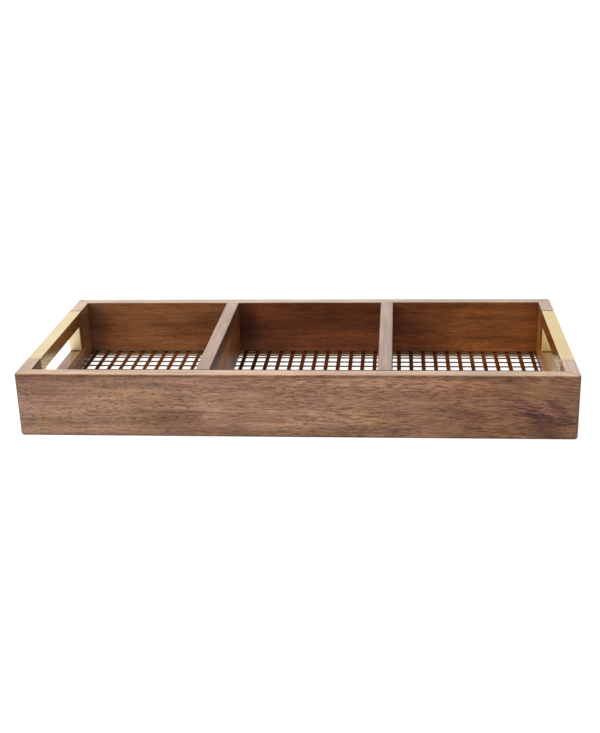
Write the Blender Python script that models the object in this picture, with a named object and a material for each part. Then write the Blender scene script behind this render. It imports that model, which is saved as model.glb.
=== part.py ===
"""Three-compartment wooden tray with a perforated brass floor and inset brass handles.

Units are metres, +Z is up. The origin is on the table, below the middle of the tray.
The long side runs along X and the short side along Y.
"""

import math

import bmesh
import bpy

# Whole tray
TRAY_LENGTH = 0.380
TRAY_DEPTH = 0.172
TRAY_HEIGHT = 0.0456
BOARD_THICKNESS = 0.0097
EDGE_RADIUS = 0.0009
FOOT_EDGE_RADIUS = 0.0016
CORNER_RADIUS = 0.0028
FIT = 0.0003

# Dividers and the dowels that hold them
COMPARTMENTS = 3
DIVIDER_THICKNESS = 0.0098
DOWEL_RADIUS = 0.0020
DOWEL_LENGTH = 0.0150
DOWEL_IN_BOARD = 0.0060
DOWEL_CHAMFER = 0.0005
DOWEL_HEIGHT_SHARES = (0.30, 0.72)

# Splines inside the mitred corners
SPLINE_THICKNESS = 0.0020
SPLINE_WIDTH = 0.0060
SPLINE_BOTTOM = 0.0100
SPLINE_TOP = 0.0370
SPLINE_SHIFT_INWARD = 0.0010

# Perforated floor sheet, held in a groove in all four boards
SHEET_TOP = 0.0037
SHEET_THICKNESS = 0.0005
GROOVE_DEPTH = 0.0036
HOLE_PITCH = 0.00953
COLUMN_STRIP_WIDTH = 0.0031
ROW_STRIP_WIDTH = 0.0020
ROWS_SHIFT_BACK = 0.0009
PART_HOLE_LEAST = 0.0012
PART_HOLE_OVERRUN = 0.0005

# Handles
HANDLE_LENGTH = 0.1090
HANDLE_LEG_WIDTH = 0.0090
HANDLE_BAR_HEIGHT = 0.0109
HANDLE_EDGE_RADIUS = 0.0007
NOTCH_FLOOR = 0.0150
NOTCH_END_GAP = 0.0005

# Screws that hold the handles from below
SCREW_LENGTH = 0.0220
SCREW_RADIUS = 0.0013
SCREW_HEAD_RADIUS = 0.0019
SCREW_HEAD_HEIGHT = 0.0018
SCREW_HEAD_SETBACK = 0.0010
SCREW_FROM_OUTER_FACE = 0.0033
SCREW_POINT = 0.0020
CROSS_LENGTH = 0.0024
CROSS_WIDTH = 0.0007
CROSS_DEPTH = 0.0009

# How finely the round shapes are divided
EDGE_STEPS = 3
CORNER_STEPS = 4
DOWEL_SIDES = 10
SCREW_SIDES = 12
BEVEL_STEPS = 2

# How far a cutter reaches past the surface that it cuts
OVERRUN = 0.0010

# Sizes worked out from the ones above
INNER_LENGTH = TRAY_LENGTH - 2 * BOARD_THICKNESS
INNER_DEPTH = TRAY_DEPTH - 2 * BOARD_THICKNESS
SHEET_UNDERSIDE = SHEET_TOP - SHEET_THICKNESS
GROOVE_TOP = SHEET_TOP + FIT
GROOVE_FLOOR = SHEET_UNDERSIDE - FIT
MITRE_SETBACK = FIT / math.sqrt(2)
COMPARTMENT_LENGTH = (INNER_LENGTH - (COMPARTMENTS - 1) * DIVIDER_THICKNESS) / COMPARTMENTS
DIVIDER_STEP = COMPARTMENT_LENGTH + DIVIDER_THICKNESS

WALNUT_BROWN = (0.205, 0.105, 0.052)
DARK_BROWN = (0.165, 0.082, 0.040)
PALE_BEECH = (0.560, 0.400, 0.235)
POLISHED_BRASS = (0.870, 0.680, 0.330)
STEEL_GREY = (0.560, 0.550, 0.530)


def clear_scene():
    for item in list(bpy.data.objects):
        bpy.data.objects.remove(item, do_unlink=True)


def make_material(name, colour, roughness, metallic):
    material = bpy.data.materials.new(name)
    material.use_nodes = True
    shader = material.node_tree.nodes["Principled BSDF"]
    shader.inputs["Base Color"].default_value = (*colour, 1.0)
    shader.inputs["Roughness"].default_value = roughness
    shader.inputs["Metallic"].default_value = metallic
    material.diffuse_color = (*colour, 1.0)
    return material


def board_wood(name):
    return make_material(name, WALNUT_BROWN, roughness=0.42, metallic=0.0)


def divider_wood(name):
    return make_material(name, DARK_BROWN, roughness=0.42, metallic=0.0)


def joint_wood(name):
    return make_material(name, PALE_BEECH, roughness=0.70, metallic=0.0)


def handle_brass(name):
    return make_material(name, POLISHED_BRASS, roughness=0.16, metallic=1.0)


def sheet_brass(name):
    return make_material(name, POLISHED_BRASS, roughness=0.22, metallic=1.0)


def screw_steel(name):
    return make_material(name, STEEL_GREY, roughness=0.35, metallic=1.0)


def add_object(name, mesh, material=None, location=(0.0, 0.0, 0.0), turn=0.0):
    item = bpy.data.objects.new(name, mesh)
    item.location = location
    item.rotation_euler = (0.0, 0.0, turn)
    bpy.context.scene.collection.objects.link(item)
    if material:
        item.data.materials.append(material)
    return item


def finish_mesh(name, shape, smooth=False):
    bmesh.ops.recalc_face_normals(shape, faces=shape.faces[:])
    mesh = bpy.data.meshes.new(name)
    shape.to_mesh(mesh)
    shape.free()
    if smooth:
        mesh.shade_smooth()
        mesh.set_sharp_from_angle(angle=math.radians(35))
    return mesh


def close_rings(shape, rings):
    """Join rings of vertices one after the other and cap the first and the last."""
    for near, far in zip(rings, rings[1:]):
        count = len(near)
        for index in range(count):
            following = (index + 1) % count
            shape.faces.new((near[index], near[following], far[following], far[index]))
    shape.faces.new(rings[0])
    shape.faces.new(rings[-1])


def add_prism(shape, outline, bottom, top):
    rings = [[shape.verts.new((x, y, z)) for x, y in outline] for z in (bottom, top)]
    close_rings(shape, rings)


def add_turned(shape, centre, outline, sides, axis="Z"):
    """Turn an outline of (radius, distance along the axis) points into a closed round solid."""
    rings = []
    for radius, along in outline:
        ring = []
        for step in range(sides):
            angle = 2 * math.pi * (step + 0.5) / sides
            across = (radius * math.cos(angle), radius * math.sin(angle))
            if axis == "Z":
                offset = (across[0], across[1], along)
            else:
                offset = (across[0], along, across[1])
            ring.append(shape.verts.new([c + o for c, o in zip(centre, offset)]))
        rings.append(ring)
    close_rings(shape, rings)


def arc_points(centre, radius, start, end, steps):
    """Points on an arc, with the angles in degrees."""
    points = []
    for step in range(steps + 1):
        angle = math.radians(start + (end - start) * step / steps)
        points.append((centre[0] + radius * math.cos(angle), centre[1] + radius * math.sin(angle)))
    return points


def cut_away(target, shape):
    """Take the shape, given in the target's own space, away from the target."""
    cutter = add_object(target.name + "_cutter", finish_mesh(target.name + "_cutter", shape))
    cutter.parent = target
    cutter.hide_render = True
    cutter.display_type = "WIRE"
    cut = target.modifiers.new("cuts", "BOOLEAN")
    cut.operation = "DIFFERENCE"
    cut.solver = "EXACT"
    cut.object = cutter


def board_outline():
    """Section of a frame board as (depth from the outer face, height) points."""
    foot = FOOT_EDGE_RADIUS
    radius = EDGE_RADIUS
    inner_side = BOARD_THICKNESS - radius
    upper = TRAY_HEIGHT - radius
    groove_side = BOARD_THICKNESS - GROOVE_DEPTH
    outline = arc_points((foot, foot), foot, 270, 180, EDGE_STEPS)
    outline += arc_points((radius, upper), radius, 180, 90, EDGE_STEPS)
    outline += arc_points((inner_side, upper), radius, 90, 0, EDGE_STEPS)
    outline += [(BOARD_THICKNESS, GROOVE_TOP), (groove_side, GROOVE_TOP)]
    outline += [(groove_side, GROOVE_FLOOR), (BOARD_THICKNESS, GROOVE_FLOOR)]
    outline += [(BOARD_THICKNESS, 0.0)]
    return outline


def mitred_point(half_length, depth, share):
    """Place of a section point near a mitre: share 0 starts the corner, 1 is on the mitre."""
    if depth > CORNER_RADIUS - MITRE_SETBACK:
        on_mitre = half_length - depth - MITRE_SETBACK
        return on_mitre - (1 - share) * CORNER_RADIUS, depth
    reach = CORNER_RADIUS - depth
    last_angle = math.pi / 4 - math.asin(MITRE_SETBACK / (math.sqrt(2) * reach))
    angle = last_angle * share
    along = half_length - CORNER_RADIUS + reach * math.sin(angle)
    return along, CORNER_RADIUS - reach * math.cos(angle)


def mitred_board(name, length, location, turn):
    """One frame board: outer face towards -Y, mitred at both ends, grooved inside for the sheet."""
    shape = bmesh.new()
    rings = []
    outline = board_outline()
    for side in (-1, 1):
        steps = range(CORNER_STEPS, -1, -1) if side < 0 else range(CORNER_STEPS + 1)
        for step in steps:
            ring = []
            for depth, height in outline:
                along, y = mitred_point(length / 2, depth, step / CORNER_STEPS)
                ring.append(shape.verts.new((side * along, y, height)))
            rings.append(ring)
    close_rings(shape, rings)
    mesh = finish_mesh(name, shape, smooth=True)
    return add_object(name, mesh, board_wood(name + "_wood"), location, turn)


def spline_outline(clearance):
    """Plan of a corner spline about its own middle, long side along X."""
    half_width = SPLINE_WIDTH / 2 + clearance
    half_thickness = SPLINE_THICKNESS / 2 + clearance
    return [(-half_width, -half_thickness), (half_width, -half_thickness),
            (half_width, half_thickness), (-half_width, half_thickness)]


def spline_depth():
    """Distance of a spline's middle from the two outer faces of its corner."""
    return BOARD_THICKNESS / 2 + SPLINE_SHIFT_INWARD / math.sqrt(2)


def turned_outline(outline, angle, centre):
    cosine = math.cos(angle)
    sine = math.sin(angle)
    return [(centre[0] + x * cosine - y * sine, centre[1] + x * sine + y * cosine)
            for x, y in outline]


def add_spline_slots(shape, length):
    for side in (-1, 1):
        centre = (side * (length / 2 - spline_depth()), spline_depth())
        plan = turned_outline(spline_outline(FIT), side * math.pi / 4, centre)
        add_prism(shape, plan, SPLINE_BOTTOM - FIT, SPLINE_TOP + FIT)


def divider_places():
    return [(index - (COMPARTMENTS - 2) / 2) * DIVIDER_STEP for index in range(COMPARTMENTS - 1)]


def dowel_heights():
    return [share * TRAY_HEIGHT for share in DOWEL_HEIGHT_SHARES]


def add_board_dowel_holes(shape):
    for x in divider_places():
        for height in dowel_heights():
            hole = [(DOWEL_RADIUS + FIT, BOARD_THICKNESS - DOWEL_IN_BOARD - FIT),
                    (DOWEL_RADIUS + FIT, BOARD_THICKNESS + OVERRUN)]
            add_turned(shape, (x, 0.0, height), hole, DOWEL_SIDES, axis="Y")


def long_board(name, location, turn):
    board = mitred_board(name, TRAY_LENGTH, location, turn)
    cuts = bmesh.new()
    add_spline_slots(cuts, TRAY_LENGTH)
    add_board_dowel_holes(cuts)
    cut_away(board, cuts)


def add_notch(shape):
    """Handle notch through the board, with a floor whose two long edges are rounded."""
    half_length = HANDLE_LENGTH / 2 + NOTCH_END_GAP
    radius = EDGE_RADIUS
    low = NOTCH_FLOOR - radius
    section = [(-OVERRUN, low)]
    section += arc_points((radius, low), radius, 180, 90, EDGE_STEPS)
    section += arc_points((BOARD_THICKNESS - radius, low), radius, 90, 0, EDGE_STEPS)
    section += [(BOARD_THICKNESS + OVERRUN, low),
                (BOARD_THICKNESS + OVERRUN, TRAY_HEIGHT + OVERRUN),
                (-OVERRUN, TRAY_HEIGHT + OVERRUN)]
    rings = [[shape.verts.new((x, y, z)) for y, z in section] for x in (-half_length, half_length)]
    close_rings(shape, rings)


def leg_middle():
    return (HANDLE_LENGTH - HANDLE_LEG_WIDTH) / 2


def add_screw_holes(shape):
    """Clearance hole and head recess below each handle leg."""
    head_top = SCREW_HEAD_SETBACK + SCREW_HEAD_HEIGHT + FIT
    hole = [(SCREW_HEAD_RADIUS + FIT, -OVERRUN), (SCREW_HEAD_RADIUS + FIT, head_top),
            (SCREW_RADIUS + FIT, head_top), (SCREW_RADIUS + FIT, NOTCH_FLOOR + OVERRUN)]
    for side in (-1, 1):
        add_turned(shape, (side * leg_middle(), SCREW_FROM_OUTER_FACE, 0.0), hole, SCREW_SIDES)


def end_board(name, location, turn):
    board = mitred_board(name, TRAY_DEPTH, location, turn)
    cuts = bmesh.new()
    add_spline_slots(cuts, TRAY_DEPTH)
    cut_away(board, cuts)
    notch = bmesh.new()
    add_notch(notch)
    cut_away(board, notch)
    screw_holes = bmesh.new()
    add_screw_holes(screw_holes)
    cut_away(board, screw_holes)


def divider(name, x):
    """Upright divider with rounded top edges and a pair of dowel holes in each end."""
    radius = EDGE_RADIUS
    half = DIVIDER_THICKNESS / 2
    upper = TRAY_HEIGHT - radius
    bottom = SHEET_TOP + FIT
    half_length = INNER_DEPTH / 2 - FIT
    section = [(half, bottom), (-half, bottom)]
    section += arc_points((-half + radius, upper), radius, 180, 90, EDGE_STEPS)
    section += arc_points((half - radius, upper), radius, 90, 0, EDGE_STEPS)
    shape = bmesh.new()
    rings = [[shape.verts.new((across, y, z)) for across, z in section]
             for y in (-half_length, half_length)]
    close_rings(shape, rings)
    mesh = finish_mesh(name, shape, smooth=True)
    board = add_object(name, mesh, divider_wood(name + "_wood"), (x, 0.0, 0.0))
    cuts = bmesh.new()
    deep = INNER_DEPTH / 2 - (DOWEL_LENGTH - DOWEL_IN_BOARD) - FIT
    for side in (-1, 1):
        for height in dowel_heights():
            ends = sorted((side * deep, side * (INNER_DEPTH / 2 + OVERRUN)))
            hole = [(DOWEL_RADIUS + FIT, end) for end in ends]
            add_turned(cuts, (0.0, 0.0, height), hole, DOWEL_SIDES, axis="Y")
    cut_away(board, cuts)


def dowel(name, x, side, height):
    """Plain dowel across the joint between a divider and a long board."""
    half = DOWEL_LENGTH / 2
    outline = [(DOWEL_RADIUS - DOWEL_CHAMFER, -half), (DOWEL_RADIUS, DOWEL_CHAMFER - half),
               (DOWEL_RADIUS, half - DOWEL_CHAMFER), (DOWEL_RADIUS - DOWEL_CHAMFER, half)]
    shape = bmesh.new()
    add_turned(shape, (0.0, 0.0, 0.0), outline, DOWEL_SIDES, axis="Y")
    mesh = finish_mesh(name, shape, smooth=True)
    y = side * (INNER_DEPTH / 2 + DOWEL_IN_BOARD - half)
    add_object(name, mesh, joint_wood(name + "_wood"), (x, y, height))


def corner_spline(name, x_side, y_side):
    """Loose tongue across one mitre."""
    shape = bmesh.new()
    add_prism(shape, spline_outline(0.0), SPLINE_BOTTOM, SPLINE_TOP)
    x = x_side * (TRAY_LENGTH / 2 - spline_depth())
    y = y_side * (TRAY_DEPTH / 2 - spline_depth())
    turn = -x_side * y_side * math.pi / 4
    add_object(name, finish_mesh(name, shape), joint_wood(name + "_wood"), (x, y, 0.0), turn)


def whole_hole_spans(room, strip_width):
    """Two edges of each whole hole across the room between two boards, about its middle."""
    hole = HOLE_PITCH - strip_width
    count = int((room - strip_width) / HOLE_PITCH)
    first = (strip_width - count * HOLE_PITCH) / 2
    return [(first + index * HOLE_PITCH, first + index * HOLE_PITCH + hole)
            for index in range(count)]


def cut_hole_spans(spans, strip_width, wall):
    """The two edges of a hole beyond the last one, where there is room for part of it."""
    near = spans[-1][1] + strip_width
    return [(near, wall + PART_HOLE_OVERRUN)] if wall - near > PART_HOLE_LEAST else []


def hole_spans_x():
    """Whole columns of holes, and one more at each end that the end board covers in part."""
    spans = whole_hole_spans(INNER_LENGTH, COLUMN_STRIP_WIDTH)
    cut = cut_hole_spans(spans, COLUMN_STRIP_WIDTH, INNER_LENGTH / 2)
    return [(-far, -near) for near, far in cut] + spans + cut


def hole_spans_y():
    """Whole rows of holes, and one more that the back board covers in part."""
    centred = whole_hole_spans(INNER_DEPTH, ROW_STRIP_WIDTH)
    spans = [(near + ROWS_SHIFT_BACK, far + ROWS_SHIFT_BACK) for near, far in centred]
    return spans + cut_hole_spans(spans, ROW_STRIP_WIDTH, INNER_DEPTH / 2)


def add_margin(shape, start, end, line):
    """Fill between one straight edge of the sheet and the line of hole corners beside it."""
    middle = len(line) // 2
    for index, (near, far) in enumerate(zip(line, line[1:])):
        apex = start if index < middle else end
        shape.faces.new((apex, near, far))
    shape.faces.new((start, line[middle], end))


def sheet_layer(shape, xs, ys, half_x, half_y, z):
    """One face of the perforated sheet, as its hole corners, its four corners and its faces."""
    grid = [[shape.verts.new((x, y, z)) for y in ys] for x in xs]
    left_front = shape.verts.new((-half_x, -half_y, z))
    right_front = shape.verts.new((half_x, -half_y, z))
    right_back = shape.verts.new((half_x, half_y, z))
    left_back = shape.verts.new((-half_x, half_y, z))
    for i in range(len(xs) - 1):
        for j in range(len(ys) - 1):
            if i % 2 == 1 or j % 2 == 1:
                shape.faces.new((grid[i][j], grid[i + 1][j], grid[i + 1][j + 1], grid[i][j + 1]))
    front_line = [column[0] for column in grid]
    back_line = [column[-1] for column in grid]
    add_margin(shape, left_front, right_front, front_line)
    add_margin(shape, right_front, right_back, grid[-1])
    add_margin(shape, right_back, left_back, back_line[::-1])
    add_margin(shape, left_back, left_front, grid[0][::-1])
    return grid, (left_front, right_front, right_back, left_back)


def perforated_sheet(name):
    """Flat sheet with rows of oblong holes, its margin in the grooves of the boards."""
    half_x = INNER_LENGTH / 2 + GROOVE_DEPTH - FIT
    half_y = INNER_DEPTH / 2 + GROOVE_DEPTH - FIT
    xs = [edge for span in hole_spans_x() for edge in span]
    ys = [edge for span in hole_spans_y() for edge in span]
    shape = bmesh.new()
    upper, upper_corners = sheet_layer(shape, xs, ys, half_x, half_y, SHEET_TOP)
    lower, lower_corners = sheet_layer(shape, xs, ys, half_x, half_y, SHEET_UNDERSIDE)
    for i in range(0, len(xs), 2):
        for j in range(0, len(ys), 2):
            around = ((i, j), (i + 1, j), (i + 1, j + 1), (i, j + 1))
            for (a, b), (c, d) in zip(around, around[1:] + around[:1]):
                shape.faces.new((upper[a][b], upper[c][d], lower[c][d], lower[a][b]))
    for index in range(4):
        following = (index + 1) % 4
        shape.faces.new((upper_corners[index], upper_corners[following],
                         lower_corners[following], lower_corners[index]))
    add_object(name, finish_mesh(name, shape), sheet_brass(name + "_metal"))


def handle(name, x_side):
    """Inverted-U grip that fills its notch flush with the board's faces and top."""
    half = HANDLE_LENGTH / 2
    inner = half - HANDLE_LEG_WIDTH
    bottom = NOTCH_FLOOR + FIT
    under_bar = TRAY_HEIGHT - HANDLE_BAR_HEIGHT
    outline = [(-half, bottom), (-inner, bottom), (-inner, under_bar), (inner, under_bar),
               (inner, bottom), (half, bottom), (half, TRAY_HEIGHT), (-half, TRAY_HEIGHT)]
    shape = bmesh.new()
    half_thickness = BOARD_THICKNESS / 2
    rings = [[shape.verts.new((across, y, z)) for y, z in outline]
             for across in (-half_thickness, half_thickness)]
    close_rings(shape, rings)
    mesh = finish_mesh(name, shape, smooth=True)
    x = x_side * (TRAY_LENGTH / 2 - half_thickness)
    grip = add_object(name, mesh, handle_brass(name + "_metal"), (x, 0.0, 0.0))
    edges = grip.modifiers.new("edges", "BEVEL")
    edges.width = HANDLE_EDGE_RADIUS
    edges.segments = BEVEL_STEPS
    edges.limit_method = "ANGLE"
    holes = bmesh.new()
    axis_x = x_side * (half_thickness - SCREW_FROM_OUTER_FACE)
    top = SCREW_HEAD_SETBACK + SCREW_LENGTH + FIT
    hole = [(SCREW_RADIUS + FIT, 0.0), (SCREW_RADIUS + FIT, top)]
    for side in (-1, 1):
        add_turned(holes, (axis_x, side * leg_middle(), 0.0), hole, SCREW_SIDES)
    cut_away(grip, holes)


def handle_screw(name, x_side, y_side):
    """Screw from the underside of an end board into one leg of the handle."""
    outline = [(SCREW_HEAD_RADIUS, 0.0), (SCREW_HEAD_RADIUS, SCREW_HEAD_HEIGHT),
               (SCREW_RADIUS, SCREW_HEAD_HEIGHT), (SCREW_RADIUS, SCREW_LENGTH - SCREW_POINT),
               (SCREW_RADIUS / 2, SCREW_LENGTH)]
    shape = bmesh.new()
    add_turned(shape, (0.0, 0.0, 0.0), outline, SCREW_SIDES)
    mesh = finish_mesh(name, shape, smooth=True)
    x = x_side * (TRAY_LENGTH / 2 - SCREW_FROM_OUTER_FACE)
    y = y_side * leg_middle()
    screw = add_object(name, mesh, screw_steel(name + "_metal"), (x, y, SCREW_HEAD_SETBACK))
    long = CROSS_LENGTH / 2
    short = CROSS_WIDTH / 2
    cross = [(long, -short), (long, short), (short, short), (short, long), (-short, long),
             (-short, short), (-long, short), (-long, -short), (-short, -short),
             (-short, -long), (short, -long), (short, -short)]
    recess = bmesh.new()
    add_prism(recess, cross, -OVERRUN, CROSS_DEPTH)
    cut_away(screw, recess)


def build_frame():
    long_board("front_board", (0.0, -TRAY_DEPTH / 2, 0.0), 0.0)
    long_board("back_board", (0.0, TRAY_DEPTH / 2, 0.0), math.pi)
    end_board("left_end_board", (-TRAY_LENGTH / 2, 0.0, 0.0), -math.pi / 2)
    end_board("right_end_board", (TRAY_LENGTH / 2, 0.0, 0.0), math.pi / 2)
    for x_side, x_word in ((-1, "left"), (1, "right")):
        for y_side, y_word in ((-1, "front"), (1, "back")):
            corner_spline(f"{y_word}_{x_word}_corner_spline", x_side, y_side)


def build_dividers():
    for number, x in enumerate(divider_places(), start=1):
        divider(f"divider_{number}", x)
        for side, word in ((-1, "front"), (1, "back")):
            for level, height in zip(("lower", "upper"), dowel_heights()):
                dowel(f"divider_{number}_{word}_{level}_dowel", x, side, height)


def build_handles():
    for x_side, x_word in ((-1, "left"), (1, "right")):
        handle(f"{x_word}_handle", x_side)
        for y_side, y_word in ((-1, "front"), (1, "back")):
            handle_screw(f"{x_word}_handle_{y_word}_screw", x_side, y_side)


def main():
    clear_scene()
    build_frame()
    build_dividers()
    perforated_sheet("perforated_floor_sheet")
    build_handles()


main()
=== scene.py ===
import math
from dataclasses import dataclass

import bpy
from mathutils import Matrix, Vector


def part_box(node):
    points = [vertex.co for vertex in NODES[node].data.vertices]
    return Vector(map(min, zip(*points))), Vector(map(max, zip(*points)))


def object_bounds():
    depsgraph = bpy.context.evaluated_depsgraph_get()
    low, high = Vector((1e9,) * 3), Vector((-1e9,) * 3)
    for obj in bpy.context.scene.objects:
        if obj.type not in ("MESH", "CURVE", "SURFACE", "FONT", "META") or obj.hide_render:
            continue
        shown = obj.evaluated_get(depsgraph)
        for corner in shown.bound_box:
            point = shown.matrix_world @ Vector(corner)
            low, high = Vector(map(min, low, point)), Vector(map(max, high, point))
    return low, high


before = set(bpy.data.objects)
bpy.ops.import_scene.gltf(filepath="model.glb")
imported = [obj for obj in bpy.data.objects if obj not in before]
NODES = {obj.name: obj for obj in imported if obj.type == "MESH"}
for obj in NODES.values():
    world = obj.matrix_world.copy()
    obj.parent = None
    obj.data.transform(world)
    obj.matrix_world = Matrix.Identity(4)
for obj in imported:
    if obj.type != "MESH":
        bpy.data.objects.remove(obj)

CAD_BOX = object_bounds()

# Camera, fitted to the tray's edges in the photograph, in metres and degrees
PHOTO_HEIGHT_PX = 733
FOCAL_LENGTH_PX = 1133.1
CAMERA_PLACE = (0.0692, -0.7870, 0.3140)
CAMERA_YAW = 5.173
CAMERA_PITCH = 20.437
CAMERA_ROLL = -1.616
CAMERA_CLIPS = (0.01, 100.0)
SENSOR_HEIGHT = 36.0

# Studio: how bright the world is as a light, and as it is seen directly
STUDIO_LIGHT = 0.50
STUDIO_SEEN = 1.0

# Floor: its grey and its own glow, as a light and as it is seen directly, and its width and
# how far it lies below the tray, in metres
FLOOR_LIGHT = (0.50, 0.35)
FLOOR_SEEN = (0.30, 0.88)
FLOOR_WIDTH = 40.0
FLOOR_DROP = 0.0001

# Softboxes: name, place, the point they face and width in metres, and power in watts
SOFTBOXES = (
    ("overhead_softbox", (-0.40, 0.10, 1.20), (0.0, 0.0, 0.0), 1.0, 12.0),
    ("left_softbox", (-0.95, -0.80, 0.75), (-0.05, 0.0, 0.02), 0.8, 9.0),
)

# Smooth shading: vertices closer than this, in metres, are one, and edges sharper than this
# angle in degrees stay sharp
JOIN_DISTANCE = 0.000002
SHARP_ANGLE = 40
FLAT_FACE_WEIGHT = 100

# Millimetres in a metre: the finishes measure their places in millimetres
MM = 1000.0

# Where the boards' faces and the sheet lie, in millimetres from the middle of the tray and
# from the table, and how far the dividers are apart
OUTER_X = CAD_BOX[1].x * MM
OUTER_Y = CAD_BOX[1].y * MM
INNER_X = -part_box("left_end_board")[1].x * MM
INNER_Y = -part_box("front_board")[1].y * MM
TOP_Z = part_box("front_board")[1].z * MM
SHEET_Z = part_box("perforated_floor_sheet")[0].z * MM
COMPARTMENT_STEP = (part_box("divider_2")[0].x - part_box("divider_1")[0].x) * MM

WHITE = (1.0, 1.0, 1.0)

# Stained wood, a dark and a light tone of each kind of face. The inner tones are darker and
# redder than the outer ones as painted shade inside the compartments, and the front, back and
# end tops' tones paler than the sides' as painted light and sheen from above
OUTER_TONES = ((0.255, 0.140, 0.083), (0.378, 0.216, 0.136))
INNER_PAINTED_SHADE_TONES = ((0.150, 0.047, 0.013), (0.258, 0.090, 0.028))
FRONT_TOP_PAINTED_LIGHT_TONES = ((0.440, 0.262, 0.155), (0.575, 0.365, 0.232))
BACK_TOP_PAINTED_LIGHT_TONES = ((0.340, 0.232, 0.154), (0.445, 0.325, 0.230))
END_TOP_PAINTED_LIGHT_TONES = ((0.395, 0.250, 0.165), (0.515, 0.345, 0.240))
DIVIDER_TOP_TONES = ((0.265, 0.158, 0.113), (0.355, 0.228, 0.168))

# Unstained wood below the floor sheet, on boards along X and on boards along Y, and the tone
# where it meets the stain. The tone on boards along X is very pale as painted light from the
# bright floor below the holes; the tone where it meets the stain is dark as painted shade
# just under the sheet
BARE_AND_PAINTED_LIGHT_LONG_TONE = (0.95, 0.76, 0.52)
BARE_CROSS_TONE = (0.24, 0.14, 0.10)
PAINTED_UNDER_SHEET_SHADE_TONE = (0.16, 0.09, 0.05)

# Tints of a board by the left, the middle and the right compartment
EVEN_TINTS = (WHITE, WHITE, WHITE)
FRONT_TINTS = ((1.00, 1.00, 1.01), (1.07, 1.06, 1.03), (0.80, 0.70, 0.62))
BACK_TINTS = ((1.05, 1.16, 1.30), (0.81, 0.68, 0.67), (1.29, 1.21, 0.94))
END_TINTS = ((1.15, 1.55, 2.20), WHITE, (1.15, 1.30, 1.35))
DIVIDER_TINTS = ((0.82, 0.84, 0.88), (0.82, 0.84, 0.88), (0.82, 0.84, 0.88))

# Painted shade: tints of a long board beside the left wall of each compartment, where that wall
# shades it; in the right compartment the tint lightens instead
PAINTED_WALL_SHADE_TINTS = ((0.80, 0.84, 1.15), (0.62, 0.60, 0.76), (1.10, 1.15, 1.20))

# Tints of a darker line below the top edge, of painted shade along the foot and round the left
# corners, of seams where pieces meet, of painted shadow where the table and the floor sheet meet
# the boards, and of the wood's own colours
LINE_TINT = (0.76, 0.68, 0.62)
PAINTED_FOOT_SHADE_TINT = (0.46, 0.41, 0.39)
PAINTED_CORNER_SHADE_TINT = (0.80, 0.76, 0.76)
SEAM_TINT = (0.74, 0.68, 0.64)
PAINTED_TABLE_SHADOW_TINT = (0.04, 0.025, 0.015)
PAINTED_SHEET_SHADOW_TINT = (0.34, 0.28, 0.20)
MAUVE_TINT = (0.92, 0.87, 0.93)
GOLDEN_TINT = (1.03, 1.00, 0.84)
PORE_TINT = (0.40, 0.30, 0.25)

# Tints of the level faces below the tops, darker and golden as a painted reflection of the brass
# handles, and of the dividers' sides at the front: a painted sheen low down and painted shade
# high up, below the top edge
PAINTED_BRASS_REFLECTION_TINT = (0.70, 0.61, 0.42)
PAINTED_SHEEN_TINT = (2.1, 2.5, 2.0)
PAINTED_TOP_SHADE_TINT = (0.60, 0.56, 0.56)

# Dark and light patches of the front board: middle along X and Z, turn in degrees, half
# length and half width, and tint
FRONT_PATCHES = (
    ((167.0, 12.5), 44.0, (25.0, 8.5), (0.50, 0.40, 0.50)),
    ((177.0, 20.0), 44.0, (13.0, 4.5), (0.68, 0.58, 0.70)),
    ((147.0, 28.0), 30.0, (16.0, 5.0), (0.82, 0.74, 0.80)),
    ((121.0, 16.0), 6.0, (15.0, 5.0), (0.82, 0.72, 0.84)),
    ((136.0, 9.0), 30.0, (18.0, 7.0), (1.12, 1.10, 0.90)),
    ((-184.0, 24.0), 80.0, (20.0, 9.0), (0.94, 0.94, 1.00)),
    ((-165.0, 43.5), 0.0, (32.0, 4.5), (0.88, 0.80, 0.86)),
    ((-76.0, 12.0), 10.0, (24.0, 11.0), (0.86, 0.78, 0.80)),
    ((-102.0, 26.0), 15.0, (26.0, 10.0), (1.08, 1.08, 0.98)),
    ((55.0, 14.0), 8.0, (30.0, 7.0), (1.12, 1.12, 0.98)),
    ((100.0, 34.0), 0.0, (100.0, 16.0), (1.26, 1.27, 1.27)),
    ((124.0, 37.0), 0.0, (16.0, 6.0), (1.18, 1.18, 1.14)),
    ((166.0, 39.0), 0.0, (14.0, 6.0), (1.16, 1.16, 1.12)),
    ((75.0, 26.0), 0.0, (16.0, 8.0), (1.16, 1.16, 1.20)),
    ((147.0, 22.0), 20.0, (13.0, 5.5), (0.82, 0.80, 0.88)),
    ((-184.0, 8.0), 90.0, (16.0, 12.0), (0.96, 1.04, 1.16)),
)

# Where a joint or a change of tone crosses the top of the front board, and the tint beyond it
FRONT_SEAMS = ((56.8, (0.91, 0.92, 0.87)), (168.5, (0.98, 0.93, 1.00)))

# Noises of the grain: waves in a millimetre along and across it, detail and roughness
PLAIN_ROUGHNESS = 0.55
CLOUDS = (0.016, 0.040, 2.0, PLAIN_ROUGHNESS)
HUES = (0.013, 0.055, 2.0, PLAIN_ROUGHNESS)
BANDS = (0.008, 0.17, 4.0, 0.62)
FIBRES = (0.050, 0.70, 3.0, 0.65)
SHORT_PORES = (0.24, 1.9, 1.0, PLAIN_ROUGHNESS)
FRONT_SHORT_PORES = (0.27, 1.45, 1.0, PLAIN_ROUGHNESS)
LONG_PORES = (0.15, 1.8, 3.0, 0.75)
PORE_PLACES = (0.020, 0.060, 2.0, PLAIN_ROUGHNESS)

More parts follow.
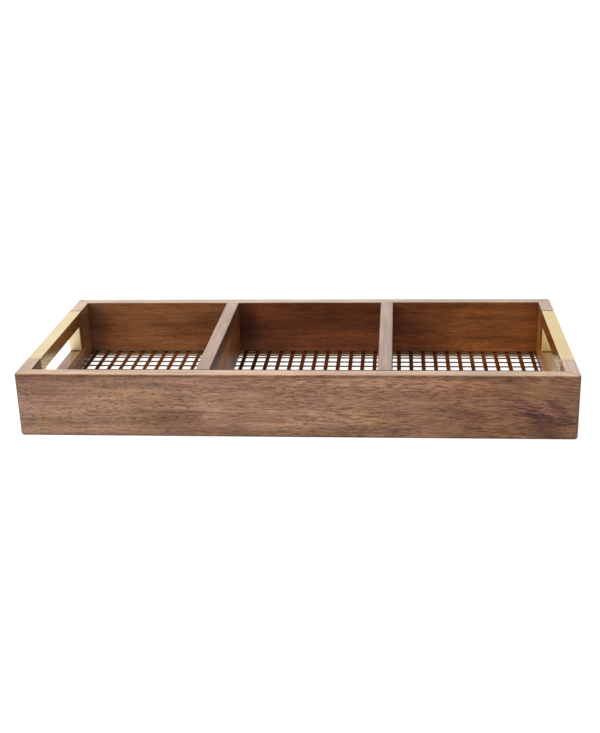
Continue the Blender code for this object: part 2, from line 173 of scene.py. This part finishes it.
# How the grain wanders: waves in a millimetre along it and across it, and how far it goes in
# millimetres. The grain of the front board sinks by its swoop, from where the swoop starts
WANDER_WAVES = (0.012, 0.030, 0.030)
WANDER_REACH = 5.0
SWOOP_START = 135.0
FRONT_SWOOP = 5.0

# Each piece is cut from another place of the noise, its seed times this far away
SEED_STEP = (37.0, 53.0, 71.0)

# Where the tints begin and where they are full, in millimetres. Of four numbers, the last two
# are the amounts at the first two. A single number is a distance from a face
LEFT_TINT_FADE = (-75.0, -50.0)
RIGHT_TINT_FADE = (45.0, 125.0)
PAINTED_WALL_SHADE_FADE = (18.0, 9.0)
LINE_DROP = 1.4
LINE_FADE = (1.0, 0.4)
LINE_FADE_ALONG = (10.0, 70.0, 1.0, 0.3)
PAINTED_FOOT_SHADE_FADE = (2.0, 0.6)
PAINTED_CORNER_SHADE_FADE = (-2.8, -1.8)
SEAM_FADE = (0.45, 0.15)
PAINTED_UNDER_SHEET_SHADE_FADE = (2.2, 2.8)
PAINTED_TABLE_SHADOW_FADE = (1.2, 0.75)
PAINTED_SHEET_SHADOW_RISE = 0.6
PAINTED_SHEET_SHADOW_FADE = (1.0, 0.5)
FRONT_FADE = (32.0, 0.0)
PAINTED_SHEEN_FADE = (40.0, 30.0)
PAINTED_TOP_SHADE_FADE = (38.5, 42.0)
INNER_LIGHT_BY_HEIGHT = (28.0, 12.0, 0.94, 1.24)
TOP_BAND = 5.0
INSIDE_MARGIN = 0.5

# A patch's edge, in its half sizes, how ragged the fibres make it, and its half depth along Y
# in millimetres, far more than the tray's
PATCH_FADE = (1.15, 0.45)
PATCH_RAGGEDNESS = 1.4
PATCH_DEPTH = 1000.0

# The middle of a noise, and the clouds' part of the shades, where the rest is bands
NOISE_MIDDLE = 0.5
CLOUD_SHARE = 0.6

# Levels of the noises, and the amounts at them
LIGHT_LEVELS = (0.36, 0.64)
MAUVE_LEVELS = (0.52, 0.66, 0.0, 0.8)
GOLDEN_LEVELS = (0.47, 0.34, 0.0, 0.8)
BAND_LEVELS = (0.30, 0.70, 0.88, 1.12)
FIBRE_LEVELS = (0.28, 0.72, 0.74, 1.24)
FIBRE_ROUGHNESS = (0.2, 0.8, 0.40, 0.55)
SHORT_PORE_LEVELS = (0.50, 0.66)
LONG_PORE_LEVELS = (0.46, 0.57)
PORE_PLACE_LEVELS = (0.34, 0.56, 0.50, 1.0)

# Pores: where long ones take over from short ones and where they grow denser, in millimetres
# along X, and how much of them the level faces and the inner faces have
LONG_PORES_FADE = (-75.0, -25.0)
PORES_ALONG = (-30.0, 60.0, 0.84, 1.0)
PORES_ON_LEVEL_FACES = 0.25
PORES_INSIDE = 0.60

# Relief of the wood: its depth in metres, how strong it is, and the fibres' part beside the pores
WOOD_RELIEF = (0.00006, 0.6)
FIBRE_RELIEF = 0.35

# Faces that look this far up count as level
LEVEL_FACES = (0.55, 0.95)

# Lacquer on sides, on level faces, and what the tops and the ledges have besides
SIDE_COAT = 0.15
LEVEL_COAT = 0.16
TOP_COAT = 0.74
LEDGE_COAT = 0.75

# Roughness of the lacquer, and how shiny the wood is below it
COAT_ROUGHNESS = 0.25
END_COAT_ROUGHNESS = 0.08
DIVIDER_COAT_ROUGHNESS = 0.35
WOOD_SHINE = 0.15

# Brass, a dark and a light tone, and the tone of its upright faces. The right handle's tones are
# darker than the left's as painted shade and its upright faces paler as painted light; the
# sheet's hole edges are dark as painted shade
LEFT_HANDLE_TONES = ((0.81, 0.68, 0.43), (0.86, 0.74, 0.50))
LEFT_HANDLE_SIDE_TONE = (0.82, 0.68, 0.42)
RIGHT_HANDLE_PAINTED_SHADE_TONES = ((0.73, 0.57, 0.32), (0.78, 0.63, 0.39))
RIGHT_HANDLE_PAINTED_LIGHT_SIDE_TONE = (0.94, 0.74, 0.34)
SHEET_TONES = ((0.58, 0.45, 0.29), (0.68, 0.55, 0.37))
HOLE_EDGE_PAINTED_SHADE_TONE = (0.16, 0.10, 0.05)
BRASS_GLARE = (1.0, 0.94, 0.80)

# Roughness of the brass where it is brightest and where it is most worn, and what the faces
# across the tray and all upright faces have besides
HANDLE_POLISH = (0.14, 0.19)
SHEET_POLISH = (0.10, 0.18)
ACROSS_DULLNESS = 0.16
UPRIGHT_DULLNESS = 0.06
FACING_LEVELS = (0.3, 0.8)
WEAR_LEVELS = (0.3, 0.7)

# Noises of the brass and the hidden pieces: waves in a millimetre along X, Y and Z
BRASS_LINES_ALONG_X = (0.02, 3.0, 3.0)
BRASS_LINES_ALONG_Y = (3.0, 0.02, 3.0)
BRASS_CLOUDS = (0.03, 0.03, 0.03)
RAW_WOOD_LINES = (1.5, 1.5, 0.12)
STEEL_CLOUDS = (0.9, 0.9, 0.9)

# The fine lines' part of the brass's wear, where the rest is clouds
LINE_SHARE = 0.3

# Relief in metres, and of the brass also how strong it is
BRASS_RELIEF = (0.000002, 0.3)
RAW_WOOD_RELIEF = 0.00008
STEEL_RELIEF = 0.00001

# Hidden pieces: a dark and a light tone, and roughness as two levels of the noise and the
# amounts at them
RAW_WOOD_TONES = ((0.46, 0.31, 0.17), (0.66, 0.49, 0.30))
RAW_WOOD_ROUGHNESS = (0.2, 0.8, 0.62, 0.78)
STEEL_TONES = ((0.50, 0.49, 0.47), (0.64, 0.63, 0.60))
STEEL_ROUGHNESS = (0.2, 0.8, 0.28, 0.46)


@dataclass
class Board:
    """What sets one stained piece of wood apart from the others."""

    along_x: bool
    seed: int
    top_tones_with_painted_light: tuple
    outer_tones: tuple = OUTER_TONES
    outer_tints: tuple = EVEN_TINTS
    inner_tints: tuple = EVEN_TINTS
    patches: tuple = ()
    seams: tuple = ()
    swoop: float = 0.0
    short_pores: tuple = SHORT_PORES
    coat_roughness: float = COAT_ROUGHNESS
    painted_front_sheen: bool = False


class Graph:
    """The nodes of a material or a world, with a short call for each kind that is used."""

    def __init__(self, owner):
        self.owner = owner
        self.owner.use_nodes = True
        self.tree = owner.node_tree
        self.tree.nodes.clear()

    def node(self, kind, **settings):
        item = self.tree.nodes.new(kind)
        for key, value in settings.items():
            setattr(item, key, value)
        return item

    def feed(self, socket, value):
        if isinstance(value, bpy.types.NodeSocket):
            self.tree.links.new(value, socket)
        elif socket.type == "RGBA":
            socket.default_value = (*value, 1.0)
        else:
            socket.default_value = value

    def math(self, operation, first, second=0.0):
        item = self.node("ShaderNodeMath", operation=operation)
        self.feed(item.inputs[0], first)
        self.feed(item.inputs[1], second)
        return item.outputs[0]

    def plus(self, first, second):
        return self.math("ADD", first, second)

    def minus(self, first, second):
        return self.math("SUBTRACT", first, second)

    def times(self, first, second):
        return self.math("MULTIPLY", first, second)

    def distance(self, value, middle=0.0):
        """How far a value lies from the middle, to either side."""
        return self.math("ABSOLUTE", self.minus(value, middle))

    def below(self, value, limit):
        return self.math("LESS_THAN", value, limit)

    def above(self, value, limit):
        return self.math("GREATER_THAN", value, limit)

    def between(self, value, low, high, to_low=0.0, to_high=1.0):
        """The value's place between low and high, smoothed, as a number from to_low to to_high."""
        item = self.node("ShaderNodeMapRange", interpolation_type="SMOOTHSTEP")
        for socket, number in zip(item.inputs, (value, low, high, to_low, to_high)):
            self.feed(socket, number)
        return item.outputs[0]

    def vector_math(self, operation, first, second):
        item = self.node("ShaderNodeVectorMath", operation=operation)
        self.feed(item.inputs[0], first)
        self.feed(item.inputs[1], second)
        return item.outputs[0]

    def length(self, vector):
        item = self.node("ShaderNodeVectorMath", operation="LENGTH")
        self.feed(item.inputs[0], vector)
        return item.outputs["Value"]

    def combine(self, x, y, z):
        item = self.node("ShaderNodeCombineXYZ")
        for socket, value in zip(item.inputs, (x, y, z)):
            self.feed(socket, value)
        return item.outputs[0]

    def separate(self, vector):
        item = self.node("ShaderNodeSeparateXYZ")
        self.feed(item.inputs[0], vector)
        return item.outputs

    def place(self):
        """Position in millimetres, as a vector and as its three parts."""
        item = self.node("ShaderNodeTexCoord")
        vector = self.vector_math("MULTIPLY", item.outputs["Object"], (MM, MM, MM))
        return vector, self.separate(vector)

    def facing(self, axis):
        """How far a face looks along X (0), Y (1) or Z (2), from -1 to 1."""
        item = self.node("ShaderNodeNewGeometry")
        return self.separate(item.outputs["Normal"])[axis]

    def noise(self, vector, waves, detail, roughness=PLAIN_ROUGHNESS):
        """Noise with this many waves in a millimetre along X, Y and Z."""
        item = self.node("ShaderNodeTexNoise")
        self.feed(item.inputs["Vector"], self.vector_math("MULTIPLY", vector, waves))
        self.feed(item.inputs["Scale"], 1.0)
        self.feed(item.inputs["Detail"], detail)
        self.feed(item.inputs["Roughness"], roughness)
        return item.outputs["Fac"]

    def mix(self, factor, first, second, blend="MIX"):
        item = self.node("ShaderNodeMix", data_type="RGBA", blend_type=blend)
        inputs = [socket for socket in item.inputs if socket.type == "RGBA"]
        self.feed(item.inputs[0], factor)
        self.feed(inputs[0], first)
        self.feed(inputs[1], second)
        return [socket for socket in item.outputs if socket.type == "RGBA"][0]

    def tinted(self, colour, amount, tint):
        return self.mix(amount, colour, tint, "MULTIPLY")

    def scaled(self, colour, factor):
        """The colour made darker or lighter by a factor that changes over the surface."""
        return self.tinted(colour, 1.0, self.combine(factor, factor, factor))

    def bump(self, height, distance, strength=1.0):
        item = self.node("ShaderNodeBump")
        self.feed(item.inputs["Height"], height)
        self.feed(item.inputs["Distance"], distance)
        self.feed(item.inputs["Strength"], strength)
        return item.outputs["Normal"]

    def shader(self, kind, **sockets):
        """A shader with these inputs, named as on the node but with _ for a space."""
        item = self.node(kind)
        for name, value in sockets.items():
            self.feed(item.inputs[name.replace("_", " ")], value)
        return item.outputs[0]

    def glowing(self, grey, glow):
        """A matt grey surface with a white glow of its own."""
        item = self.node("ShaderNodeAddShader")
        self.feed(item.inputs[0], self.shader("ShaderNodeBsdfDiffuse", Color=(grey, grey, grey)))
        self.feed(item.inputs[1], self.shader("ShaderNodeEmission", Color=WHITE, Strength=glow))
        return item.outputs[0]

    def by_ray(self, lighting, seen):
        """One shader as it lights the tray, another as the camera, a mirror or glass sees it."""
        path = self.node("ShaderNodeLightPath")
        direct = path.outputs["Is Camera Ray"]
        for name in ("Is Glossy Ray", "Is Transmission Ray"):
            direct = self.math("MAXIMUM", direct, path.outputs[name])
        item = self.node("ShaderNodeMixShader")
        for socket, value in zip(item.inputs, (direct, lighting, seen)):
            self.feed(socket, value)
        return item.outputs[0]

    def finish(self, surface, output="ShaderNodeOutputMaterial"):
        self.feed(self.node(output).inputs[0], surface)
        return self.owner


def grain_place(graph, parts, board):
    """Position along the grain and across it, bent as grown wood is.

    The board's swoop is how far its grain sinks, in millimetres, towards its right end.
    """
    x, y, z = parts
    straight = graph.combine(x, y, z) if board.along_x else graph.combine(y, x, z)
    start = tuple(step * board.seed for step in SEED_STEP)
    shifted = graph.vector_math("ADD", straight, start)
    drift = graph.minus(graph.noise(shifted, WANDER_WAVES, detail=2.0), NOISE_MIDDLE)
    wander = graph.times(drift, WANDER_REACH)
    sunk = graph.plus(wander, graph.between(x, SWOOP_START, OUTER_X, 0.0, board.swoop))
    return graph.vector_math("ADD", shifted, graph.combine(0.0, wander, sunk))


def along_grain(graph, grain, kind):
    """One of the noises of the grain."""
    along, across, detail, roughness = kind
    return graph.noise(grain, (along, across, across), detail, roughness)


def tint_along(graph, x, tints):
    """The tint of the left compartment, then the middle one's, then slowly the right one's."""
    left, middle, right = tints
    first = graph.mix(graph.between(x, *LEFT_TINT_FADE), left, middle)
    return graph.mix(graph.between(x, *RIGHT_TINT_FADE), first, right)


def add_patch(graph, colour, place, ragged, patch):
    """Tint the colour in a soft-edged ellipse that lies in the X-Z plane."""
    middle, turn, reach, tint = patch
    item = graph.node("ShaderNodeMapping", vector_type="TEXTURE")
    graph.feed(item.inputs["Vector"], place)
    graph.feed(item.inputs["Location"], (middle[0], 0.0, middle[1]))
    graph.feed(item.inputs["Rotation"], (0.0, math.radians(turn), 0.0))
    graph.feed(item.inputs["Scale"], (reach[0], PATCH_DEPTH, reach[1]))
    distance = graph.plus(graph.length(item.outputs[0]), ragged)
    return graph.tinted(colour, graph.between(distance, *PATCH_FADE), tint)


def add_seam(graph, colour, x, seam):
    """A hairline across the top of a board, and the tint beyond it."""
    place, tint = seam
    beyond = graph.tinted(colour, graph.above(x, place), tint)
    distance = graph.distance(x, place)
    return graph.tinted(beyond, graph.between(distance, *SEAM_FADE), SEAM_TINT)


def darker_edges(graph, colour, parts):
    """A darker line below the top edge; painted shade along the foot and round the left corners.
    """
    x, y, z = parts
    below_top = graph.distance(z, TOP_Z - LINE_DROP)
    line = graph.times(graph.between(below_top, *LINE_FADE), graph.between(x, *LINE_FADE_ALONG))
    lined = graph.tinted(colour, line, LINE_TINT)
    foot_shaded = graph.tinted(lined, graph.between(z, *PAINTED_FOOT_SHADE_FADE), PAINTED_FOOT_SHADE_TINT)
    outwards = graph.plus(graph.distance(x), graph.distance(y))
    start, full = (OUTER_X + OUTER_Y + reach for reach in PAINTED_CORNER_SHADE_FADE)
    corner_shade = graph.between(outwards, start, full)
    return graph.tinted(foot_shaded, graph.times(graph.below(x, 0.0), corner_shade), PAINTED_CORNER_SHADE_TINT)


def bare_foot_with_painted_shade(graph, colour, z, bare_and_painted_light_tone):
    """Unstained wood below the floor sheet, with painted shadow where sheet and table meet it."""
    # Painted shade darkens the wood just under the sheet; on boards along X the bare tone is very
    # pale, as painted light from the bright floor below the holes.
    bare = graph.mix(graph.between(z, *PAINTED_UNDER_SHEET_SHADE_FADE), bare_and_painted_light_tone, PAINTED_UNDER_SHEET_SHADE_TONE)
    foot = graph.tinted(bare, graph.between(z, *PAINTED_TABLE_SHADOW_FADE), PAINTED_TABLE_SHADOW_TINT)
    below = graph.mix(graph.below(z, SHEET_Z), colour, foot)
    distance = graph.distance(z, SHEET_Z + PAINTED_SHEET_SHADOW_RISE)
    return graph.tinted(below, graph.between(distance, *PAINTED_SHEET_SHADOW_FADE), PAINTED_SHEET_SHADOW_TINT)


def painted_wall_shade(graph, colour, x):
    """Painted shade beside the left wall of each compartment, cooler and darkest in the middle
    one.
    """
    left, middle, right = PAINTED_WALL_SHADE_TINTS
    from_wall = graph.math("MODULO", graph.plus(x, INNER_X), COMPARTMENT_STEP)
    first = graph.mix(graph.above(x, -COMPARTMENT_STEP / 2), left, middle)
    tint = graph.mix(graph.above(x, COMPARTMENT_STEP / 2), first, right)
    return graph.tinted(colour, graph.between(from_wall, *PAINTED_WALL_SHADE_FADE), tint)


def painted_sheen_and_shade(graph, colour, y, z):
    """Paler low at the front as painted sheen, darker below the top edge there as painted shade.
    """
    front = graph.between(y, *FRONT_FADE)
    low = graph.times(front, graph.between(z, *PAINTED_SHEEN_FADE))
    high = graph.times(front, graph.between(z, *PAINTED_TOP_SHADE_FADE))
    return graph.tinted(graph.tinted(colour, low, PAINTED_SHEEN_TINT), high, PAINTED_TOP_SHADE_TINT)


def outer_face(graph, colour, vector, parts, fibres, board):
    """The colour with the board's own tints and patches, and darker at the edges."""
    tinted = graph.tinted(colour, 1.0, tint_along(graph, parts[0], board.outer_tints))
    ragged = graph.times(graph.minus(fibres, NOISE_MIDDLE), PATCH_RAGGEDNESS)
    for patch in board.patches:
        tinted = add_patch(graph, tinted, vector, ragged, patch)
    return darker_edges(graph, tinted, parts)


def inner_face(graph, colour, parts, board):
    """The colour as it changes along a compartment and from the foot to the top."""
    x, y, z = parts
    tinted = graph.tinted(colour, 1.0, tint_along(graph, x, board.inner_tints))
    tinted = graph.scaled(tinted, graph.between(z, *INNER_LIGHT_BY_HEIGHT))
    if board.along_x:
        tinted = painted_wall_shade(graph, tinted, x)
    if board.painted_front_sheen:
        tinted = painted_sheen_and_shade(graph, tinted, y, z)
    return bare_foot_with_painted_shade(graph, tinted, z, BARE_AND_PAINTED_LIGHT_LONG_TONE if board.along_x else BARE_CROSS_TONE)


def top_face(graph, colour, x, board):
    for seam in board.seams:
        colour = add_seam(graph, colour, x, seam)
    return colour


def inside_mask(graph, parts):
    """1 on the faces towards the compartments."""
    near_x = graph.below(graph.distance(parts[0]), INNER_X + INSIDE_MARGIN)
    near_y = graph.below(graph.distance(parts[1]), INNER_Y + INSIDE_MARGIN)
    return graph.times(near_x, near_y)


def grain_colour(graph, base, grain, bands, fibres):
    """The base with mauve and golden clouds, bands and fibres."""
    hues = along_grain(graph, grain, HUES)
    mauve = graph.tinted(base, graph.between(hues, *MAUVE_LEVELS), MAUVE_TINT)
    golden = graph.tinted(mauve, graph.between(hues, *GOLDEN_LEVELS), GOLDEN_TINT)
    banded = graph.scaled(golden, graph.between(bands, *BAND_LEVELS))
    return graph.scaled(banded, graph.between(fibres, *FIBRE_LEVELS))


def open_pores(graph, grain, x, up, inside, short_pores):
    """How much pore is open: short dashes on the left, long ones on the right, few on tops."""
    short = graph.between(along_grain(graph, grain, short_pores), *SHORT_PORE_LEVELS)
    long = graph.between(along_grain(graph, grain, LONG_PORES), *LONG_PORE_LEVELS)
    dashes = graph.mix(graph.between(x, *LONG_PORES_FADE), short, long)
    places = along_grain(graph, grain, PORE_PLACES)
    scatter = graph.times(graph.between(places, *PORE_PLACE_LEVELS),
                          graph.between(x, *PORES_ALONG))
    exposed = graph.times(graph.between(up, 0.0, 1.0, 1.0, PORES_ON_LEVEL_FACES),
                          graph.between(inside, 0.0, 1.0, 1.0, PORES_INSIDE))
    return graph.times(dashes, graph.times(scatter, exposed))


def coat_weight(graph, up, on_top, on_ledge):
    """Thin lacquer on the sides, thicker on the level faces."""
    level = graph.plus(graph.times(on_top, TOP_COAT), graph.times(on_ledge, LEDGE_COAT))
    return graph.plus(graph.between(up, 0.0, 1.0, SIDE_COAT, LEVEL_COAT), level)


def wood(name, board):
    """Lacquered open-pored wood."""
    graph = Graph(bpy.data.materials.new(name))
    vector, parts = graph.place()
    x, _, z = parts
    grain = grain_place(graph, parts, board)
    bands = along_grain(graph, grain, BANDS)
    fibres = along_grain(graph, grain, FIBRES)
    clouds = along_grain(graph, grain, CLOUDS)
    shades = graph.plus(graph.times(clouds, CLOUD_SHARE), graph.times(bands, 1.0 - CLOUD_SHARE))
    light = graph.between(shades, *LIGHT_LEVELS)
    up = graph.between(graph.facing(2), *LEVEL_FACES)
    on_top = graph.times(up, graph.above(z, TOP_Z - TOP_BAND))
    on_ledge = graph.minus(up, on_top)
    inside = inside_mask(graph, parts)
    outer = outer_face(graph, graph.mix(light, *board.outer_tones), vector, parts, fibres, board)
    # The inner tones carry painted shade, and the tops' tones painted light.
    inner = inner_face(graph, graph.mix(light, *INNER_PAINTED_SHADE_TONES), parts, board)
    top = top_face(graph, graph.mix(light, *board.top_tones_with_painted_light), x, board)
    # Level faces below the tops take a darker golden tint as a painted reflection of the brass.
    sides = graph.tinted(graph.mix(inside, outer, inner), on_ledge, PAINTED_BRASS_REFLECTION_TINT)
    grown = grain_colour(graph, graph.mix(on_top, sides, top), grain, bands, fibres)
    pores = open_pores(graph, grain, x, up, inside, board.short_pores)
    relief = graph.minus(graph.times(fibres, FIBRE_RELIEF), pores)
    return graph.finish(graph.shader(
        "ShaderNodeBsdfPrincipled",
        Base_Color=graph.tinted(grown, pores, PORE_TINT),
        Roughness=graph.between(fibres, *FIBRE_ROUGHNESS),
        Specular_IOR_Level=WOOD_SHINE,
        Coat_Weight=coat_weight(graph, up, on_top, on_ledge),
        Coat_Roughness=board.coat_roughness,
        Normal=graph.bump(relief, *WOOD_RELIEF)))


def raw_wood(name):
    graph = Graph(bpy.data.materials.new(name))
    vector = graph.place()[0]
    lines = graph.noise(vector, RAW_WOOD_LINES, detail=4.0)
    return graph.finish(graph.shader(
        "ShaderNodeBsdfPrincipled",
        Base_Color=graph.mix(lines, *RAW_WOOD_TONES),
        Roughness=graph.between(lines, *RAW_WOOD_ROUGHNESS),
        Normal=graph.bump(lines, RAW_WOOD_RELIEF)))


def brass(name, tones, side_tone, polish, along_x):
    """Polished and lacquered brass with fine lines and faint clouding, duller on its sides."""
    graph = Graph(bpy.data.materials.new(name))
    vector = graph.place()[0]
    waves = BRASS_LINES_ALONG_X if along_x else BRASS_LINES_ALONG_Y
    lines = graph.noise(vector, waves, detail=3.0)
    clouds = graph.noise(vector, BRASS_CLOUDS, detail=2.0)
    across = graph.distance(graph.facing(1))
    level = graph.distance(graph.facing(2))
    duller = graph.plus(graph.between(across, *FACING_LEVELS, 0.0, ACROSS_DULLNESS),
                        graph.between(level, *FACING_LEVELS, UPRIGHT_DULLNESS, 0.0))
    wear = graph.plus(graph.times(lines, LINE_SHARE), graph.times(clouds, 1.0 - LINE_SHARE))
    colour = graph.mix(graph.between(clouds, *WEAR_LEVELS), *tones)
    return graph.finish(graph.shader(
        "ShaderNodeBsdfPrincipled",
        # Upright faces take the side tone: painted shade on the sheet's hole edges, painted light
        # on the right handle.
        Base_Color=graph.mix(graph.between(level, *FACING_LEVELS), side_tone, colour),
        Metallic=1.0,
        Roughness=graph.plus(graph.between(wear, *WEAR_LEVELS, *polish), duller),
        Specular_Tint=BRASS_GLARE,
        Normal=graph.bump(lines, *BRASS_RELIEF)))


def steel(name):
    graph = Graph(bpy.data.materials.new(name))
    vector = graph.place()[0]
    clouds = graph.noise(vector, STEEL_CLOUDS, detail=4.0)
    return graph.finish(graph.shader(
        "ShaderNodeBsdfPrincipled",
        Base_Color=graph.mix(clouds, *STEEL_TONES),
        Metallic=1.0,
        Roughness=graph.between(clouds, *STEEL_ROUGHNESS),
        Normal=graph.bump(clouds, STEEL_RELIEF)))


def dress(name, material):
    NODES[name].data.materials.clear()
    NODES[name].data.materials.append(material)


def dress_boards():
    boards = {
        "front_board": Board(along_x=True, seed=1, top_tones_with_painted_light=FRONT_TOP_PAINTED_LIGHT_TONES,
                             outer_tints=FRONT_TINTS, patches=FRONT_PATCHES,
                             seams=FRONT_SEAMS, swoop=FRONT_SWOOP,
                             short_pores=FRONT_SHORT_PORES),
        "back_board": Board(along_x=True, seed=2, top_tones_with_painted_light=BACK_TOP_PAINTED_LIGHT_TONES,
                            inner_tints=BACK_TINTS),
    }
    for seed, name in enumerate(("left_end_board", "right_end_board"), start=3):
        boards[name] = Board(along_x=False, seed=seed, top_tones_with_painted_light=END_TOP_PAINTED_LIGHT_TONES,
                             inner_tints=END_TINTS, coat_roughness=END_COAT_ROUGHNESS)
    for seed, name in enumerate(("divider_1", "divider_2"), start=5):
        boards[name] = Board(along_x=False, seed=seed, top_tones_with_painted_light=DIVIDER_TOP_TONES,
                             outer_tones=INNER_PAINTED_SHADE_TONES, inner_tints=DIVIDER_TINTS,
                             coat_roughness=DIVIDER_COAT_ROUGHNESS, painted_front_sheen=True)
    for name, board in boards.items():
        dress(name, wood(name + "_wood", board))


def dress_brass():
    dress("left_handle", brass("left_handle_brass", LEFT_HANDLE_TONES, LEFT_HANDLE_SIDE_TONE,
                               HANDLE_POLISH, along_x=False))
    dress("right_handle", brass("right_handle_brass", RIGHT_HANDLE_PAINTED_SHADE_TONES,
                                RIGHT_HANDLE_PAINTED_LIGHT_SIDE_TONE, HANDLE_POLISH, along_x=False))
    dress("perforated_floor_sheet", brass("sheet_brass", SHEET_TONES, HOLE_EDGE_PAINTED_SHADE_TONE,
                                          SHEET_POLISH, along_x=True))


def dress_hidden_pieces():
    joints = raw_wood("joint_wood")
    screws = steel("screw_steel")
    for name in NODES:
        if name.endswith(("_spline", "_dowel")):
            dress(name, joints)
        elif name.endswith("_screw"):
            dress(name, screws)


def smooth_group():
    """Geometry nodes that join the loaded faces and shade them smooth except at sharp edges."""
    tree = bpy.data.node_groups.new("smooth_faces", "GeometryNodeTree")
    tree.interface.new_socket("Geometry", in_out="INPUT", socket_type="NodeSocketGeometry")
    tree.interface.new_socket("Geometry", in_out="OUTPUT", socket_type="NodeSocketGeometry")
    start = tree.nodes.new("NodeGroupInput")
    end = tree.nodes.new("NodeGroupOutput")
    clear = tree.nodes.new("GeometryNodeRemoveAttribute")
    clear.inputs["Name"].default_value = "custom_normal"
    join = tree.nodes.new("GeometryNodeMergeByDistance")
    join.inputs["Distance"].default_value = JOIN_DISTANCE
    faces = tree.nodes.new("GeometryNodeSetShadeSmooth")
    faces.domain = "FACE"
    edges = tree.nodes.new("GeometryNodeSetShadeSmooth")
    edges.domain = "EDGE"
    angle = tree.nodes.new("GeometryNodeInputMeshEdgeAngle")
    small = tree.nodes.new("FunctionNodeCompare")
    small.operation = "LESS_THAN"
    small.inputs["B"].default_value = math.radians(SHARP_ANGLE)
    link = tree.links.new
    link(start.outputs[0], clear.inputs["Geometry"])
    link(clear.outputs[0], join.inputs["Geometry"])
    link(join.outputs[0], faces.inputs["Geometry"])
    link(faces.outputs[0], edges.inputs["Geometry"])
    link(angle.outputs["Unsigned Angle"], small.inputs["A"])
    link(small.outputs[0], edges.inputs["Shade Smooth"])
    link(edges.outputs[0], end.inputs[0])
    return tree


def smooth_nodes():
    group = smooth_group()
    for item in NODES.values():
        join = item.modifiers.new("smooth_faces", "NODES")
        join.node_group = group
        weigh = item.modifiers.new("flat_faces", "WEIGHTED_NORMAL")
        weigh.keep_sharp = True
        weigh.weight = FLAT_FACE_WEIGHT


def place_camera():
    yaw, pitch, roll = (math.radians(v) for v in (CAMERA_YAW, CAMERA_PITCH, CAMERA_ROLL))
    forward = Vector((-math.sin(yaw) * math.cos(pitch), math.cos(yaw) * math.cos(pitch),
                      -math.sin(pitch)))
    level = Vector((math.cos(yaw), math.sin(yaw), 0.0))
    upright = level.cross(forward)
    right = math.cos(roll) * level + math.sin(roll) * upright
    up = math.cos(roll) * upright - math.sin(roll) * level
    data = bpy.data.cameras.new("camera")
    data.sensor_fit = "VERTICAL"
    data.sensor_height = SENSOR_HEIGHT
    data.lens = FOCAL_LENGTH_PX * SENSOR_HEIGHT / PHOTO_HEIGHT_PX
    data.clip_start, data.clip_end = CAMERA_CLIPS
    camera = bpy.data.objects.new("camera", data)
    bpy.context.scene.collection.objects.link(camera)
    turn = Matrix((right, up, -forward)).transposed().to_4x4()
    camera.matrix_world = Matrix.Translation(CAMERA_PLACE) @ turn
    bpy.context.scene.camera = camera


def light_world():
    """A white studio that lights the tray at half its seen brightness."""
    graph = Graph(bpy.data.worlds.new("studio"))
    light = graph.shader("ShaderNodeBackground", Color=WHITE, Strength=STUDIO_LIGHT)
    seen = graph.shader("ShaderNodeBackground", Color=WHITE, Strength=STUDIO_SEEN)
    bpy.context.scene.world = graph.finish(graph.by_ray(light, seen), "ShaderNodeOutputWorld")


def add_softbox(name, place, target, width, power):
    """A square lamp that brass doesn't mirror, since the white studio round it is mirrored."""
    data = bpy.data.lights.new(name, "AREA")
    data.shape = "SQUARE"
    data.size = width
    data.energy = power
    lamp = bpy.data.objects.new(name, data)
    bpy.context.scene.collection.objects.link(lamp)
    aim = Vector(target) - Vector(place)
    lamp.rotation_euler = aim.to_track_quat("-Z", "Y").to_euler()
    lamp.location = place
    lamp.visible_glossy = False


def lay_floor():
    """A plain floor, white where it is seen, that still takes the tray's shadow."""
    bpy.ops.mesh.primitive_plane_add(size=FLOOR_WIDTH, location=(0.0, 0.0, -FLOOR_DROP))
    floor = bpy.context.object
    floor.name = "floor"
    graph = Graph(bpy.data.materials.new("floor_white"))
    surface = graph.by_ray(graph.glowing(*FLOOR_LIGHT), graph.glowing(*FLOOR_SEEN))
    floor.data.materials.append(graph.finish(surface))


bpy.context.scene.view_settings.view_transform = "Standard"
dress_boards()
dress_brass()
dress_hidden_pieces()
smooth_nodes()
place_camera()
light_world()
lay_floor()
for softbox in SOFTBOXES:
    add_softbox(*softbox)
